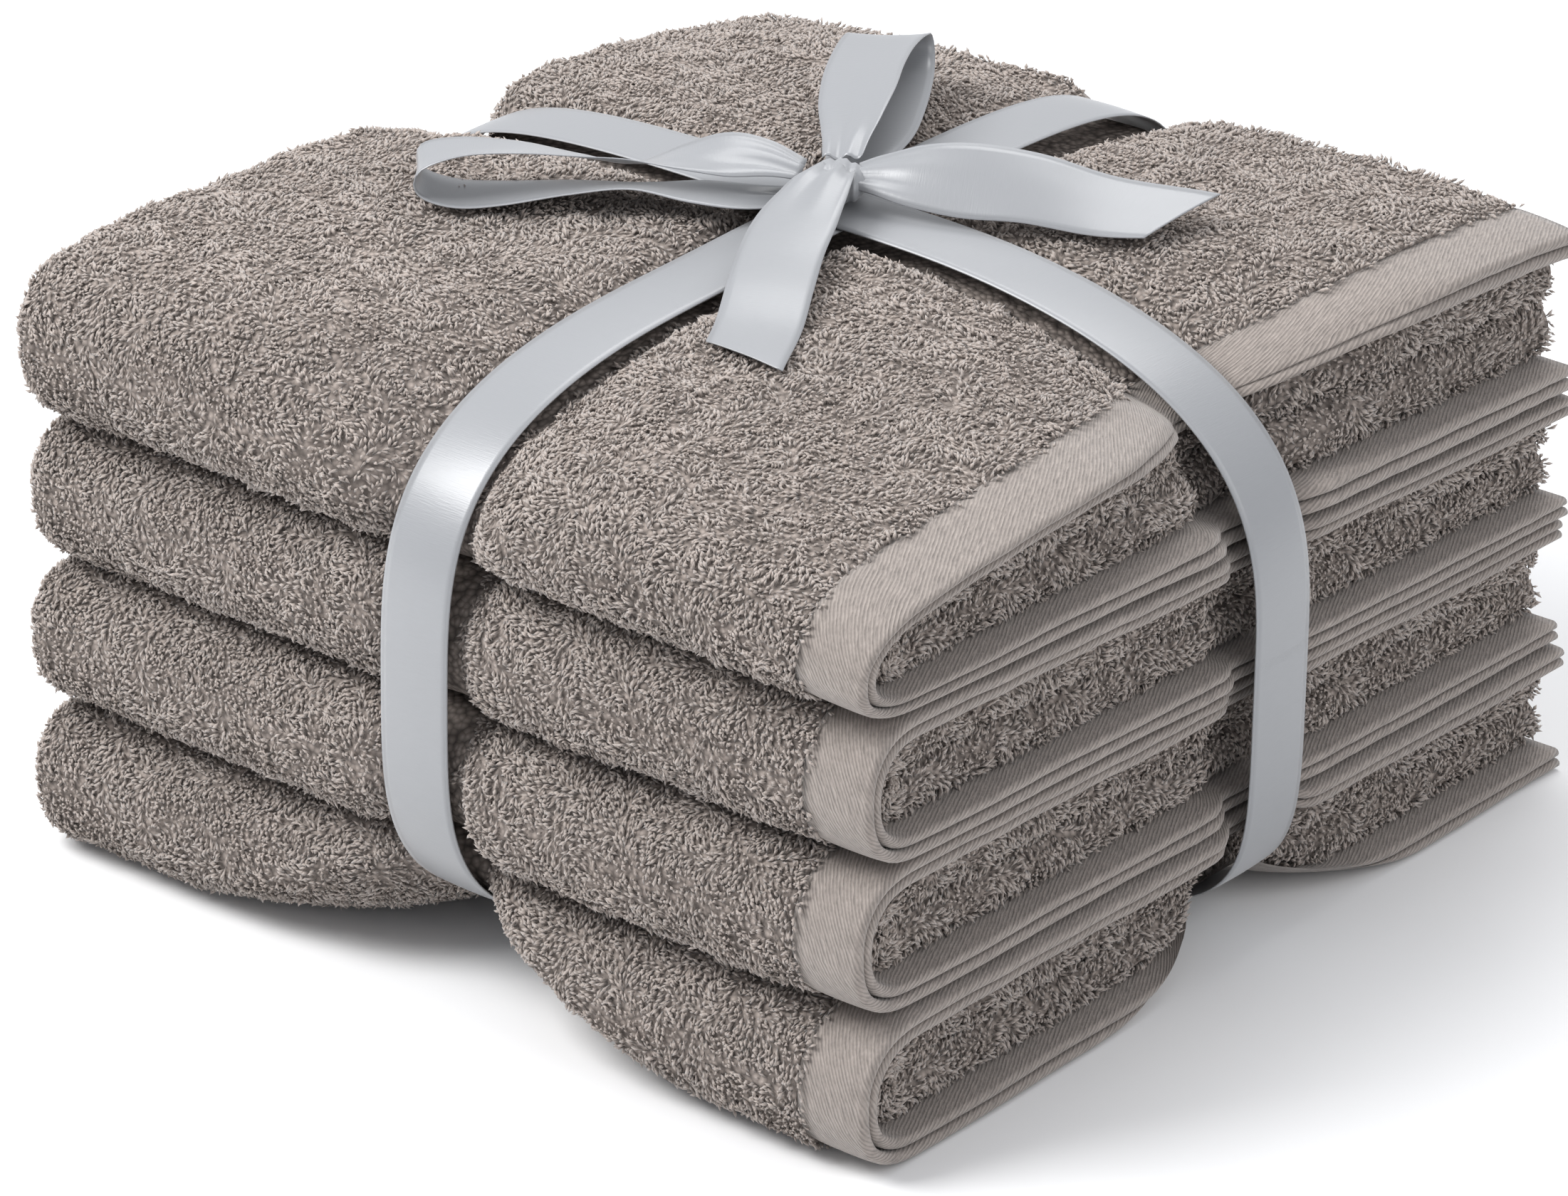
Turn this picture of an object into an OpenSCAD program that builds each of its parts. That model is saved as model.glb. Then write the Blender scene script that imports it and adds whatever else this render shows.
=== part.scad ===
// Four folded bath towels in a stack, tied both ways round with one satin ribbon and a bow.
// Towels are folded in half and half again along their length, with both hems at +X,
// then once across their width, with the round fold at -Y and the woven side edges at +Y.
// The bundle stands on z = 0 with its box centred on the Z axis.

/* [Bundle] */
// Size from the turned end at -X to the hems at +X
bundle_x = 348; // [300:1:380]
// Size from the round folds at -Y to the side edges at +Y
bundle_y = 364; // [320:1:390]
// Height of the stack before the ribbon squeezes it
bundle_h = 206; // [190:1:225]
// Drop of the top towards its four edges
crown = 7; // [0:1:12]
// How much lower the top is at +X than at -X
hem_side_drop = 5; // [0:1:12]
// Rise of the top at two opposite corners, and its drop at the other two
top_twist = 10; // [0:1:14]
// How much lower the top is at the open side than in the middle
open_drop = 7; // [0:1:14]

/* [Towels] */
// Gap between one towel and the next
towel_gap = 0.8; // [0.6:0.1:1.5]
// How far the round fold reaches out from where the towel is flat
nose_depth = 30; // [24:1:36]
// Width of the woven hem band
hem_w = 25; // [20:1:36]
// Thickness of one hem
hem_t = 3.4; // [2.4:0.2:4]
// How far the inner terry fold sits back behind the hems
fold_recess = 12; // [8:1:16]
// Width of the woven side edges past the terry
selvage_w = 5; // [3:1:7]
// Thickness of one side edge
selvage_t = 2.4; // [1.6:0.2:3]
// Gap between the terry and the side edges
selvage_gap = 1.6; // [1:0.1:2]

/* [Ribbon] */
// Width of the ribbon
ribbon_w = 28; // [20:1:34]
// Thickness that the ribbon is given
ribbon_t = 0.9; // [0.7:0.1:1.2]
// Where the ribbon along Y lies in X
knot_x = -2; // [-20:1:20]
// Where the ribbon along X lies in Y
knot_y = 18; // [-20:1:25]
// Reach of the front tail from the knot
front_tail = 119; // [80:1:124]
// Reach of the right tail from the knot
right_tail = 110; // [80:1:118]
// Reach of the left bow loop from the knot
left_loop = 132; // [100:1:136]
// Reach of the back bow loop from the knot
back_loop = 121; // [100:1:126]

/* [Hidden] */
half_x = bundle_x/2;
half_y = bundle_y/2;
mid_z = 103;              // height that the ribbon's squeeze works towards
ply_half = 25;            // half of a towel's thickness, in the measure that depth uses
box_x = half_x + 3;       // rounded box that holds the stack before it is tied
box_y = half_y + 3;
box_z = 105.5;
box_n = 8;                // how square that box is
wrap_x = half_x - 0.5;    // reach of the tied ribbon at the sides, top and bottom
wrap_y = half_y - 1;
wrap_top = 99;
wrap_bottom = 96;
// How square each turn is at its corners: over +, over -, under +, under -
square_x = [2.9, 5, 5.5, 4.5];
square_y = [6, 3.6, 4.5, 3.3];
cross_gap = 1.6;          // the ribbon along X crosses this far outside the one along Y

// Boundaries between towels at the fold side, and how much lower they are at the open side
levels = [0, 50, 100, 149];
open_side = 0.1;
// How far each towel's fold and hems stand out past the others
fold_out = [1, 0, -3, 0];
hem_out = [0, -3, -1.5, -2];

terry_colour = [0.60, 0.56, 0.53];
hem_colour = [0.64, 0.60, 0.57];
satin_colour = [0.90, 0.92, 0.94];

// ---- the tied shape ----

// Radius of a superellipse with half sizes a and b in the direction [c, s]
function reach(c, s, a, b, n) = pow(pow(abs(c)/a, n) + pow(abs(s)/b, n), -1/n);

// Inner radius of a turn of ribbon in its own plane
function wrap(c, s, side, extra, square) =
    reach(c, s, side + extra, (s > 0 ? wrap_top : wrap_bottom) + extra,
          square[(s > 0 ? 0 : 2) + (c > 0 ? 0 : 1)]);

// How far the cloth swells out past the ribbon, at a distance from the ribbon's edge
function swell(d) = 5*(1 - exp(-d/7)) + 27*(1 - exp(-d/52)) + 0.12*d;

function soft_over(v, w) = v > 20*w ? v : w*ln(1 + exp(v/w));

// Pulls a point in towards the middle of the stack, in the plane of one ribbon
function squeeze(p, q, off, side, square, box) =
    let (r = max(0.01, norm([p, q])), c = p/r, s = q/r,
         outside = max(0, abs(off) - ribbon_w/2 - 1.5),
         room = wrap(c, s, side, 0, square) - 0.4 + swell(outside),
         full = reach(c, s, box, box_z, box_n),
         k = (full - soft_over(full - room, 2))/full,
         pressed = r*pow(k, pow(min(1.1, r/full), 2)),
         held = room - soft_over(room - pressed, 1.2))
    [c*held, s*held];

// The tied place of a point of the loose stack
function tied(v) =
    let (a = squeeze(v[1], v[2] - mid_z, v[0] - knot_x, wrap_y, square_y, box_y),
         b = squeeze(v[0], a[1], a[0] - knot_y, wrap_x, square_x, box_x))
    [b[0], a[0], max(0, b[1] + mid_z - 0.5)];

// ---- the loose stack ----

// Height of boundary k, 0 under the bottom towel and 4 on top
function boundary(k, x, y) =
    k < 4 ? levels[k]*(1 - open_side*(y/half_y + 1)/2)
          : bundle_h - crown*(pow(x/half_x, 4) + pow(y/half_y, 4)) - hem_side_drop*(x/half_x + 1)/2
            + top_twist*x*y/(half_x*half_y) - open_drop*pow(max(0, y/half_y), 2);

// A point of towel k: x along it, a place [y, up] on its ring and the depth d below its surface
function towel_point(k, x, y, up, d) =
    let (low = boundary(k, x, y) + (k > 0 ? towel_gap/2 : 0),
         high = boundary(k + 1, x, y) - (k < 3 ? towel_gap/2 : 0))
    [x, y, low + (high - low)*(1 + up*(1 - d/ply_half))/2];

// Places on the ring from the open side over the top, round the fold and back below
flat_y = [for (o = [122, 84, 54, 30, 16, 0, -16, -30, -54, -88, -125]) knot_y + o];
nose_y = -half_y + nose_depth;
nose_angles = [90:-180/9:-90];
function ring(k, open_y, d) = concat(
    [[open_y, 1]],
    [for (y = flat_y) [y, 1]],
    [for (a = nose_angles)
        [nose_y - (nose_depth + fold_out[k])*(1 - d/ply_half)*pow(cos(a), 0.8),
         sign(sin(a))*pow(abs(sin(a)), 0.8)]],
    [for (i = [len(flat_y) - 1:-1:0]) [flat_y[i], -1]],
    [[open_y, -1]]);

// Tied rings for a profile of [x, d] stations
function rings(k, open_y, profile) =
    [for (s = profile) [for (p = ring(k, open_y, s[1])) tied(towel_point(k, s[0], p[0], p[1], s[1]))]];

// Stations along X that follow the groove under the ribbon
flat_x = [for (o = [-120, -80, -50, -30, -16, 0, 16, 30, 50, 80, 112]) knot_x + o];

// ---- meshes ----

function flatten(l) = [for (a = l) for (b = a) b];
function two(a, b, c, d) = [[a, b, c], [a, c, d]];

// Triangles of a tube of m rings of n points
function tube_faces(m, n) = flatten([for (j = [0:m - 2]) for (i = [0:n - 1])
    two(j*n + i, (j + 1)*n + i, (j + 1)*n + (i + 1)%n, j*n + (i + 1)%n)]);

// A cap across a long flat ring that folds back along itself
function cap_faces(first, n, turn) = flatten([for (i = [0:n/2 - 2])
    let (a = first + i, b = first + i + 1, c = first + n - 2 - i, d = first + n - 1 - i)
    turn ? two(d, c, b, a) : two(a, b, c, d)]);

module tube(loops) {
    m = len(loops);
    n = len(loops[0]);
    polyhedron(points = flatten(loops),
               faces = concat(tube_faces(m, n), cap_faces(0, n, false),
                              cap_faces((m - 1)*n, n, true)));
}

// ---- towels ----

module terry(k) {
    step_x = half_x + hem_out[k] - hem_w - 1;
    roll_x = half_x + hem_out[k] - fold_recess;
    under = 2*hem_t + 3.2;
    turn = [[-half_x, 23.6], [-half_x + 0.4, 15], [-half_x + 2, 8], [-half_x + 5, 3.2],
            [-half_x + 11, 0.6], [-half_x + 20, 0]];
    body_stations = [for (x = flat_x) [x, 0]];
    roll = [[step_x, 0], [step_x + 0.2, under], [roll_x - 5, under + 0.4], [roll_x - 1.5, under + 3],
            [roll_x, under + 8], [roll_x + 0.5, 23.6]];
    color(terry_colour) tube(rings(k, half_y - selvage_w, concat(turn, body_stations, roll)));
}

// One hem band: a flat woven strip that follows the ring at a depth, with blunt ends
module hem(k, depth, back) {
    out_x = half_x + hem_out[k] - back;
    in_x = half_x + hem_out[k] - hem_w;
    open_y = half_y - 2;
    band = [in_x, in_x + hem_w/3, in_x + 2*hem_w/3];
    section = concat(
        [for (x = band) [x, depth]],
        [[out_x - 1.5, depth], [out_x, depth + 1], [out_x, depth + hem_t - 1],
         [out_x - 1.5, depth + hem_t]],
        [for (i = [2:-1:0]) [band[i], depth + hem_t]]);
    loops = rings(k, open_y, section);
    n = len(loops[0]);
    m = len(section);
    across = [for (i = [0:n - 1]) [for (j = [0:m - 1]) loops[m - 1 - j][i]]];
    color(hem_colour) tube(across);
}

// Eight woven side edges, one to a ply, as one group of strips
module side_edges(k) {
    plies = [for (i = [0:3]) 3.4 + 5.9*i];
    from_x = -half_x + 9;
    to_x = half_x + hem_out[k] - hem_w - 1.4;
    stations = concat([from_x], [for (i = [0, 1, 3, 4, 5, 6, 7, 9]) flat_x[i]], [to_x]);
    color(hem_colour) for (d = plies, up = [1, -1]) {
        tube([for (x = stations)
            [for (c = [[selvage_gap, 0.5], [selvage_w, 0.5], [selvage_w, -0.5], [selvage_gap, -0.5]])
                tied(towel_point(k, x, half_y - selvage_w + c[0], up, d + c[1]*selvage_t*up))]]);
    }
}

// ---- ribbon ----

// One turn of ribbon right round the stack, in the plane that contains the knot
module wrapped(side, extra, square, along_x) {
    turns = 180;
    function at(i, r, o) =
        let (a = i*360/turns, w = wrap(cos(a), sin(a), side, extra, square) + r)
        along_x ? [w*cos(a), knot_y + o, mid_z + w*sin(a)] : [knot_x + o, w*cos(a), mid_z + w*sin(a)];
    loops = [for (i = [0:turns - 1])
        [at(i, 0, -ribbon_w/2), at(i, 0, ribbon_w/2), at(i, ribbon_t, ribbon_w/2),
         at(i, ribbon_t, -ribbon_w/2)]];
    faces = flatten([for (j = [0:turns - 1]) for (i = [0:3])
        two(j*4 + i, ((j + 1)%turns)*4 + i, ((j + 1)%turns)*4 + (i + 1)%4, j*4 + (i + 1)%4)]);
    color(satin_colour) polyhedron(points = flatten(loops),
        faces = along_x ? [for (f = faces) [f[2], f[1], f[0]]] : faces);
}

// A free length of ribbon: stations of [distance from the knot, height, width]
module strip(heading, stations, slant, t = ribbon_t) {
    u = [cos(heading), sin(heading), 0];
    v = [-sin(heading), cos(heading), 0];
    last = len(stations) - 1;
    function spot(i) = [knot_x, knot_y, 0] + u*stations[i][0] + [0, 0, stations[i][1]];
    function ahead(i) =
        let (d = spot(min(last, i + 1)) - spot(max(0, i - 1))) d/norm(d);
    loops = [for (i = [0:last])
        let (w = stations[i][2]/2, n = cross(ahead(i), v), s = u*(i == last ? slant : 0))
        [spot(i) - v*w - n*t/2 - s, spot(i) + v*w - n*t/2 + s,
         spot(i) + v*w + n*t/2 + s, spot(i) - v*w + n*t/2 - s]];
    color(satin_colour) tube(loops);
}

// Top of the tied stack under a free length that leaves the knot at a heading
function top_at(heading, r, o) =
    let (p = [knot_x, knot_y] + r*[cos(heading), sin(heading)] + o*[-sin(heading), cos(heading)])
    tied(towel_point(3, p[0], p[1], 1, 0))[2];
function rest_z(heading, r) =
    max([for (o = [-ribbon_w/2, 0, ribbon_w/2]) top_at(heading, r, o)]) + 4.6;

knot_z = mid_z + wrap_top + cross_gap + 2*ribbon_t + 0.6;
heading_front = -64;
heading_right = 27;
heading_left = 220;
heading_back = 121;

// Each tail leaves the knot, comes down on the terry and lies along it
function tail_stations(heading, far) =
    [for (r = [16, 24, 34, 46, 60, 74, 90, far])
        [r, max(rest_z(heading, r), knot_z + 7 - 0.35*(r - 16)),
         min(ribbon_w, 15 + 0.75*(r - 16))]];

module tail(heading, far, slant) {
    strip(heading, tail_stations(heading, far), slant);
}

// Each loop goes out along the terry, turns up and over and comes back above itself
module loop(heading, far, rise) {
    out = [for (r = [17, 30, 46, 62, 78, far - 24, far - 8])
        [r, max(rest_z(heading, r), knot_z + 3.5 - 0.2*(r - 17)), min(ribbon_w, 15 + 0.7*(r - 17))]];
    tip_z = rest_z(heading, far - 8);
    round = [for (a = [-60:30:60]) [far - 8 + 8*cos(a), tip_z + rise/2*(1 + sin(a)), ribbon_w]];
    back = [for (r = [far - 8, far - 30, 70, 50, 32, 17])
        let (f = (r - 17)/(far - 25))
        [r, (1 - f)*(knot_z + 9) + f*(tip_z + rise) + 2*sin(180*f), min(ribbon_w, 15 + 0.7*(r - 17))]];
    strip(heading, concat(out, round, back), 0);
}

module knot() {
    color(satin_colour) translate([knot_x, knot_y, knot_z]) hull() {
        translate([0, 0, 4]) scale([14, 12, 4]) sphere(1, $fn = 24);
        translate([0, 0, 9]) scale([10, 9, 4.5]) sphere(1, $fn = 24);
    }
}

module towel_1_terry() { terry(0); }
module towel_2_terry() { terry(1); }
module towel_3_terry() { terry(2); }
module towel_4_terry() { terry(3); }
module towel_1_outer_hem() { hem(0, 0.3, 0); }
module towel_2_outer_hem() { hem(1, 0.3, 0); }
module towel_3_outer_hem() { hem(2, 0.3, 0); }
module towel_4_outer_hem() { hem(3, 0.3, 0); }
module towel_1_inner_hem() { hem(0, hem_t + 1.9, 2); }
module towel_2_inner_hem() { hem(1, hem_t + 1.9, 2); }
module towel_3_inner_hem() { hem(2, hem_t + 1.9, 2); }
module towel_4_inner_hem() { hem(3, hem_t + 1.9, 2); }
module towel_1_side_edges() { side_edges(0); }
module towel_2_side_edges() { side_edges(1); }
module towel_3_side_edges() { side_edges(2); }
module towel_4_side_edges() { side_edges(3); }
module ribbon_along_x() { wrapped(wrap_x, cross_gap, square_x, true); }
module ribbon_along_y() { wrapped(wrap_y, 0.6, square_y, false); }
module bow_knot() { knot(); }
module bow_loop_left() { loop(heading_left, left_loop, 17); }
module bow_loop_back() { loop(heading_back, back_loop, 10); }
module bow_tail_front() { tail(heading_front, front_tail, 8); }
module bow_tail_right() { tail(heading_right, right_tail, 10); }

towel_1_terry();
towel_2_terry();
towel_3_terry();
towel_4_terry();
towel_1_outer_hem();
towel_2_outer_hem();
towel_3_outer_hem();
towel_4_outer_hem();
towel_1_inner_hem();
towel_2_inner_hem();
towel_3_inner_hem();
towel_4_inner_hem();
towel_1_side_edges();
towel_2_side_edges();
towel_3_side_edges();
towel_4_side_edges();
ribbon_along_x();
ribbon_along_y();
bow_knot();
bow_loop_left();
bow_loop_back();
bow_tail_front();
bow_tail_right();
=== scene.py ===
"""Four folded bath towels in a stack, tied both ways round with a satin ribbon and a bow.

Lengths are worked out in millimetres, as a maker would measure the cloth, and turned into
metres when a mesh is made. The bundle stands on z = 0 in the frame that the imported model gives.
"""

from __future__ import annotations

import logging
import math
from collections.abc import Callable, Sequence
from dataclasses import dataclass, field
from enum import Enum

import bmesh
import bpy
import numpy as np
from mathutils import Matrix, Vector

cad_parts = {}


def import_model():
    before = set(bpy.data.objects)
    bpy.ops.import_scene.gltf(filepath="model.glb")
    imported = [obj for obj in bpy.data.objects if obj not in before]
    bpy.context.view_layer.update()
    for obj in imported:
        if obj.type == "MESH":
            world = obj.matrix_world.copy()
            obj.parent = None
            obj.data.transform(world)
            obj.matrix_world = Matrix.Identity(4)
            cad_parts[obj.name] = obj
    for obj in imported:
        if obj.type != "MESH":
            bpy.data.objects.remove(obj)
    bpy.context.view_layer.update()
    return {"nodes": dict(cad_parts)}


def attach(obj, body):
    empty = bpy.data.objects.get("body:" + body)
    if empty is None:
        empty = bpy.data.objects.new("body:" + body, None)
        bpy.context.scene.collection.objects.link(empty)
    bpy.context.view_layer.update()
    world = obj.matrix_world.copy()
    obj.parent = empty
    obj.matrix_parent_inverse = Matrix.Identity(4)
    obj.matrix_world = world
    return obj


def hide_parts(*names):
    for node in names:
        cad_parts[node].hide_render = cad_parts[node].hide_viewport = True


Array = np.ndarray
Colour = tuple[float, float, float]
MM = 0.001  # metres in a millimetre
RIBBON_HALF = 13.5  # half of the ribbon's width, in millimetres
FACE_DEPTH = 0.3  # depth of the terry's faces and strand feet under the tied shape, in millimetres
LOG = logging.getLogger("towel_bundle")


# ---------------------------------------------------------------------------- small maths


def unit(v: Array) -> Array:
    """Gives vectors their unit length."""
    return v / np.maximum(np.linalg.norm(v, axis=-1, keepdims=True), 1e-9)


def smooth_step(t: Array | float) -> Array:
    """Eases from 0 to 1 with level ends."""
    t = np.clip(t, 0.0, 1.0)
    return t * t * (3 - 2 * t)


def run_along(points: Array) -> Array:
    """Distance walked along a line at each of its points."""
    return np.concatenate([[0], np.cumsum(np.linalg.norm(np.diff(points, axis=0), axis=1))])


class CloudNoise:
    """Smooth seeded noise over a plane, from -1 to 1."""

    SIDE = 128
    SHIFT = (31.7, 17.3)

    def __init__(self, seed: int) -> None:
        """Draws the lattice.

        Args:
            seed: Number that fixes the pattern.
        """
        self.lattice = np.random.default_rng(seed).uniform(-1, 1, (self.SIDE, self.SIDE))

    def at(self, u: Array, v: Array, size: float) -> Array:
        """Reads the noise.

        Args:
            u: Places along, in millimetres.
            v: Places across, in millimetres.
            size: Width of one cloud in millimetres.

        Returns:
            The value at each place.
        """
        a, b = np.asarray(u) / size + self.SHIFT[0], np.asarray(v) / size + self.SHIFT[1]
        i, j = np.floor(a).astype(int), np.floor(b).astype(int)
        s, t = smooth_step(a - i), smooth_step(b - j)
        n = self.SIDE
        low = self.lattice[i % n, j % n] * (1 - s) + self.lattice[(i + 1) % n, j % n] * s
        high = self.lattice[i % n, (j + 1) % n] * (1 - s) + self.lattice[(i + 1) % n, (j + 1) % n] * s
        return low * (1 - t) + high * t


def smooth_curve(points: Sequence[Sequence[float]], count: int) -> Array:
    """Runs one smooth curve through points, evenly spaced along it.

    Args:
        points: The places or stations that it passes, each with any number of values.
        count: How many points to give back.

    Returns:
        The curve's stations, one to a row.
    """
    p = np.asarray(points, float)
    padded = np.vstack([2 * p[0] - p[1], p, 2 * p[-1] - p[-2]])
    t = np.linspace(0, len(p) - 1, 40 * (len(p) - 1) + 1)
    i = np.minimum(t.astype(int), len(p) - 2)
    f = (t - i)[:, None]
    a, b, c, d = padded[i], padded[i + 1], padded[i + 2], padded[i + 3]
    fine = 0.5 * (2 * b + (c - a) * f + (2 * a - 5 * b + 4 * c - d) * f**2 + (3 * b - a - 3 * c + d) * f**3)
    run = run_along(fine[:, :3])
    at = np.linspace(0, run[-1], count)
    return np.column_stack([np.interp(at, run, fine[:, k]) for k in range(p.shape[1])])


# ---------------------------------------------------------------------------- the tied shape


@dataclass(frozen=True)
class TiedStack:
    """The loose stack of towels and how the ribbon squeezes it, in millimetres."""

    half_x: float = 174
    half_y: float = 182
    height: float = 206
    crown: float = 7
    hem_side_drop: float = 5
    top_twist: float = 10
    open_drop: float = 7
    towel_gap: float = 0.8
    nose_depth: float = 30
    nose_run: float = 88.0
    nose_power: float = 0.8
    mid_z: float = 103
    ply_half: float = 25
    box: tuple[float, float, float] = (177, 185, 105.5)
    box_power: float = 8
    wrap_x: float = 173.5
    wrap_y: float = 181
    wrap_top: float = 99
    wrap_bottom: float = 96
    square_x: tuple[float, ...] = (2.9, 5, 5.5, 4.5)
    square_y: tuple[float, ...] = (6, 3.6, 4.5, 3.3)
    knot_x: float = -2
    knot_y: float = 18
    ribbon_w: float = 28
    swell_near: tuple[float, float] = (5, 7)
    swell_far: tuple[float, float] = (27, 52)
    swell_slope: float = 0.12
    levels: tuple[float, ...] = (0, 50, 100, 149)
    open_side: float = 0.1
    fold_out: tuple[float, ...] = (1, 0, -3, 0)
    hem_out: tuple[float, ...] = (0, -3, -1.5, -2)
    selvage_w: float = 5

    @property
    def nose_y(self) -> float:
        """Where the round fold begins in Y."""
        return self.nose_depth - self.half_y

    @property
    def open_y(self) -> float:
        """Where the terry ends at the open side."""
        return self.half_y - self.selvage_w

    @staticmethod
    def reach(c: Array, s: Array, a: Array | float, b: Array | float, n: Array | float) -> Array:
        """Radius of a superellipse of half sizes a and b in the direction (c, s)."""
        return (np.abs(c / a) ** n + np.abs(s / b) ** n) ** (-1 / n)

    def wrap(self, c: Array, s: Array, side: float, extra: float, square: Sequence[float]) -> Array:
        """Inner radius of a turn of ribbon in its own plane.

        Args:
            c: Cosine of the direction from the middle of the stack.
            s: Sine of that direction, upwards.
            side: Reach of the turn at the sides.
            extra: How far outside the cloth it runs.
            square: How square its corners are: over +, over -, under +, under -.

        Returns:
            The radius in each direction.
        """
        high = np.where(s > 0, self.wrap_top, self.wrap_bottom) + extra
        power = np.asarray(square)[np.where(s > 0, 0, 2) + np.where(c > 0, 0, 1)]
        return self.reach(c, s, side + extra, high, power)

    def _swell(self, d: Array) -> Array:
        """How far the cloth swells past the ribbon, at a distance from its edge."""
        (near, near_over), (far, far_over) = self.swell_near, self.swell_far
        swollen = near * (1 - np.exp(-d / near_over)) + far * (1 - np.exp(-d / far_over))
        return swollen + self.swell_slope * d

    @staticmethod
    def _soft_over(v: Array, w: float) -> Array:
        """The part of v above zero, with a soft start of width w."""
        return w * np.logaddexp(0, v / w)

    def _squeeze(
        self, p: Array, q: Array, off: Array, side: float, square: Sequence[float], box: float
    ) -> tuple[Array, Array]:
        """Pulls points in towards the middle of the stack in the plane of one turn."""
        r = np.maximum(0.01, np.hypot(p, q))
        c, s = p / r, q / r
        outside = np.maximum(0, np.abs(off) - self.ribbon_w / 2 - 1.5)
        room = self.wrap(c, s, side, 0, square) - 0.4 + self._swell(outside)
        full = self.reach(c, s, box, self.box[2], self.box_power)
        k = (full - self._soft_over(full - room, 2)) / full
        pressed = r * k ** (np.minimum(1.1, r / full) ** 2)
        held = room - self._soft_over(room - pressed, 1.2)
        return c * held, s * held

    def tied(self, x: Array, y: Array, z: Array) -> Array:
        """Moves points of the loose stack to where the tied ribbon holds them.

        Args:
            x: Places along X.
            y: Places along Y.
            z: Heights.

        Returns:
            The tied places, one to a row.
        """
        ay, az = self._squeeze(y, z - self.mid_z, x - self.knot_x, self.wrap_y, self.square_y, self.box[1])
        bx, bz = self._squeeze(x, az, ay - self.knot_y, self.wrap_x, self.square_x, self.box[0])
        return np.stack([bx, ay, np.maximum(0.3, bz + self.mid_z - 0.5)], axis=-1)

    def boundary(self, k: int, x: Array, y: Array) -> Array:
        """Height of the boundary under towel k of the loose stack, or of the top for k = 4."""
        if k < len(self.levels):
            return self.levels[k] * (1 - self.open_side * (y / self.half_y + 1) / 2)
        rim = (x / self.half_x) ** 4 + (y / self.half_y) ** 4
        flat = self.height - self.crown * rim - self.hem_side_drop * (x / self.half_x + 1) / 2
        fallen = self.open_drop * np.maximum(0, y / self.half_y) ** 2
        return flat + self.top_twist * x * y / (self.half_x * self.half_y) - fallen

    def towel_point(self, k: int, x: Array, y: Array, up: Array, d: Array) -> Array:
        """Tied place of a point of towel k.

        Args:
            k: Index of the towel, 0 at the bottom.
            x: Place along X.
            y: Place along Y.
            up: Place on the towel's ring, 1 on its top and -1 on its underside.
            d: Depth below its surface.

        Returns:
            The tied places, one to a row.
        """
        low = self.boundary(k, x, y) + (self.towel_gap / 2 if k > 0 else 0)
        high = self.boundary(k + 1, x, y) - (self.towel_gap / 2 if k < 3 else 0)
        z = low + (high - low) * (1 + up * (1 - d / self.ply_half)) / 2
        return self.tied(x, y, z)

    def ring(self, k: int, s: Array, d: Array, open_y: float) -> tuple[Array, Array]:
        """Walks the ring of towel k from its open side over the top, round the fold and back.

        Args:
            k: Index of the towel.
            s: Distance walked, in millimetres, from the open side.
            d: Depth below the surface.
            open_y: Where the ring starts and ends in Y.

        Returns:
            Y and the place up, 1 on top and -1 below.
        """
        flat = open_y - self.nose_y
        turn = np.clip((s - flat) / self.nose_run, 0.0, 1.0)
        a = np.pi / 2 - np.pi * turn
        depth = (self.nose_depth + self.fold_out[k]) * (1 - d / self.ply_half)
        y = self.nose_y - depth * np.maximum(np.cos(a), 0) ** self.nose_power
        y = np.where(s < flat, open_y - s, y)
        y = np.where(s > flat + self.nose_run, self.nose_y + (s - flat - self.nose_run), y)
        return y, np.sign(np.sin(a)) * np.abs(np.sin(a)) ** self.nose_power

    def ring_run(self, open_y: float) -> float:
        """Whole length of a ring that opens at open_y."""
        return 2 * (open_y - self.nose_y) + self.nose_run

    def top_z(self, x: float, y: float) -> float:
        """Height of the tied top over a place."""
        one = np.ones(1)
        return float(self.towel_point(3, x * one, y * one, one, 0 * one)[0, 2])


STACK = TiedStack()


# ---------------------------------------------------------------------------- meshes


def put_in_scene(name: str, data: bpy.types.ID) -> bpy.types.Object:
    """Makes an object of some data and links it to the scene."""
    item = bpy.data.objects.new(name, data)
    bpy.context.scene.collection.objects.link(item)
    return item


def mesh_piece(name: str, points: Array, faces: Array) -> bpy.types.Object:
    """Makes a smooth object at the origin from points in millimetres.

    Args:
        name: The piece's name.
        points: Places, one to a row.
        faces: Rows of three or four point numbers.

    Returns:
        The new object, in the scene.
    """
    sides = faces.shape[1]
    mesh = bpy.data.meshes.new(name)
    mesh.vertices.add(len(points))
    mesh.vertices.foreach_set("co", (points * MM).astype(np.float32).ravel())
    mesh.loops.add(faces.size)
    mesh.loops.foreach_set("vertex_index", faces.astype(np.int32).ravel())
    mesh.polygons.add(len(faces))
    mesh.polygons.foreach_set("loop_start", np.arange(0, faces.size, sides, dtype=np.int32))
    mesh.polygons.foreach_set("use_smooth", np.full(len(faces), True))
    mesh.update(calc_edges=True)
    return put_in_scene(name, mesh)


def add_uv(piece: bpy.types.Object, along: Array, across: Array) -> None:
    """Gives a piece a UV map of cloth lengths in metres.

    Args:
        piece: The piece.
        along: Length along the cloth of each point, in millimetres.
        across: Length across the cloth of each point, in millimetres.
    """
    layer = piece.data.uv_layers.new(name="cloth")
    corner = np.zeros(len(piece.data.loops), np.int32)
    piece.data.loops.foreach_get("vertex_index", corner)
    values = np.column_stack([along[corner], across[corner]]) * MM
    layer.data.foreach_set("uv", values.astype(np.float32).ravel())


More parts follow.
